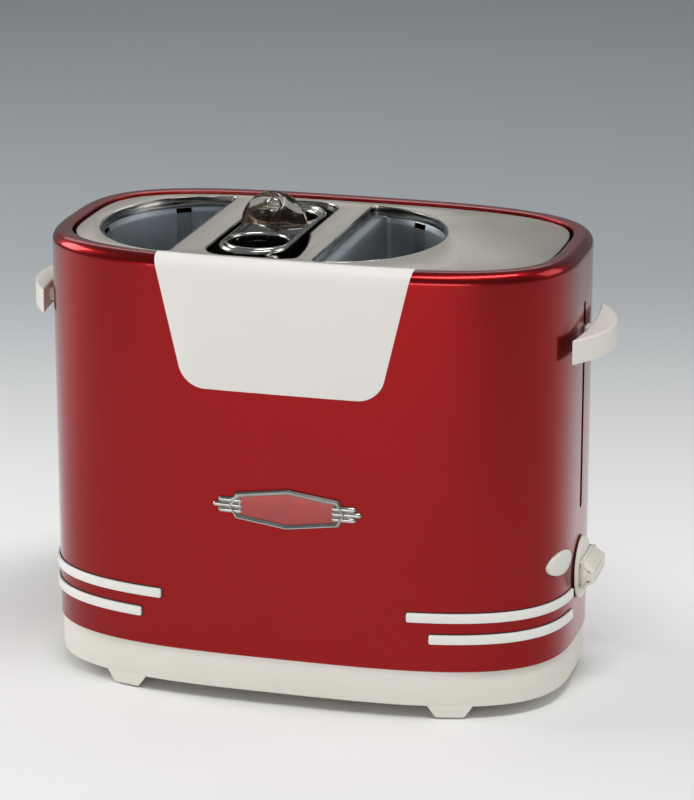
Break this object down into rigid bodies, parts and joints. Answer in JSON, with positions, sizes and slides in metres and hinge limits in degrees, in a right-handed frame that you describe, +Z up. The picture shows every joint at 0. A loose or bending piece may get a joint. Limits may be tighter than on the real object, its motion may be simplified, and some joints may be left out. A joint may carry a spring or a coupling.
{
  "type": "pop-up hot dog toaster",
  "caption": "Oval counter-top hot dog toaster: half-oval bun wells, lift-out sausage basket, side lever on a sprung carriage, browning knob, stop button, crumb tray.",
  "frame": {"origin": "on the floor under the middle of the body, level with the underside of the rubber pads", "axes": "+X to the lever end, +Y to the rear, +Z up; the label and badge are on the -Y side"},
  "size_m": [0.324, 0.1674, 0.2646],
  "materials": {
    "cream_plastic": "glossy moulded plastic",
    "red_enamel": "glossy metallic red lacquer",
    "satin_steel": "satin",
    "aluminised_steel": "dull, heat-resistant",
    "galvanised_steel": "plain zinc coated",
    "chrome_plate": "polished",
    "white_inlay": "smooth",
    "badge_red": "glossy",
    "smoked_plastic": "clear smoked",
    "black_rubber": "matte",
    "black_plastic": "matte",
    "mica_board": "dull mineral sheet",
    "heater_alloy": "oxidised ribbon",
    "spring_steel": "bright",
    "circuit_board": "solder-masked board",
    "copper_winding": "varnished copper wire"
  },
  "bodies": {
    "housing_body": {"base": "cream_plastic", "rubber_pad_front_left": "black_rubber", "rubber_pad_rear_left": "black_rubber", "rubber_pad_front_right": "black_rubber", "rubber_pad_rear_right": "black_rubber", "outer_shell": "red_enamel", "top_plate": "satin_steel", "label_plate": "cream_plastic", "badge_frame": "chrome_plate", "badge_field": "badge_red", "stripe_left_upper": "white_inlay", "stripe_right_upper": "white_inlay", "stripe_left_lower": "white_inlay", "stripe_right_lower": "white_inlay", "chassis_deck": "galvanised_steel", "well_liner_left": "aluminised_steel", "well_liner_right": "aluminised_steel", "basket_chamber": "aluminised_steel", "heater_board_left": "mica_board", "heater_ribbon_left": "heater_alloy", "heater_board_right": "mica_board", "heater_ribbon_right": "heater_alloy", "bun_guard_left": "chrome_plate", "bun_guard_right": "chrome_plate", "mechanism_frame": "galvanised_steel", "left_end_frame": "galvanised_steel", "guide_rod_front": "chrome_plate", "lift_spring_front": "spring_steel", "guide_rod_rear": "chrome_plate", "lift_spring_rear": "spring_steel", "magnet_core": "galvanised_steel", "magnet_coil": "copper_winding", "left_handle": "cream_plastic", "handle_screw_front": "spring_steel", "handle_screw_rear": "spring_steel", "control_board": "circuit_board", "timer": "black_plastic", "stop_switch": "black_plastic", "cord_gland": "black_rubber"},
    "carriage_body": {"carriage_frame": "galvanised_steel", "slide_bush_front": "black_plastic", "slide_bush_rear": "black_plastic", "lever_arm": "galvanised_steel", "keeper_plate": "galvanised_steel", "bun_rack_left": "aluminised_steel", "bun_rack_right": "aluminised_steel", "basket_platform": "aluminised_steel", "lever_handle": "cream_plastic"},
    "basket_body": {"basket_rim": "chrome_plate", "basket_cage_front": "chrome_plate", "basket_cage_rear": "chrome_plate", "basket_tab": "smoked_plastic", "basket_rivet": "chrome_plate"},
    "knob_body": {"control_knob": "cream_plastic", "timer_shaft": "spring_steel"},
    "button_body": {"stop_button": "cream_plastic"},
    "tray_body": {"crumb_tray": "galvanised_steel", "tray_pull": "cream_plastic"}
  },
  "joints": [
    {"name": "carriage_travel", "type": "slide", "parent": "housing_body", "child": "carriage_body", "axis": [0, 0, -1], "range_m": [0, 0.09], "stiffness_N_per_m": 60, "springref_m": -0.12, "deforming": ["lift_spring_front", "lift_spring_rear"]},
    {"name": "basket_lift_out", "type": "slide", "parent": "carriage_body", "child": "basket_body", "axis": [0, 0, 1], "range_m": [0, 0.12]},
    {"name": "browning_turn", "type": "hinge", "parent": "housing_body", "child": "knob_body", "pos_m": [0.145, 0, 0.0665], "axis": [1, 0, 0], "range_deg": [-135, 135]},
    {"name": "stop_press", "type": "slide", "parent": "housing_body", "child": "button_body", "axis": [-1, 0, 0], "range_m": [0, 0.0025], "stiffness_N_per_m": 800, "springref_m": -0.002},
    {"name": "tray_pull_out", "type": "slide", "parent": "housing_body", "child": "tray_body", "axis": [0, 1, 0], "range_m": [0, 0.14]}
  ]
}
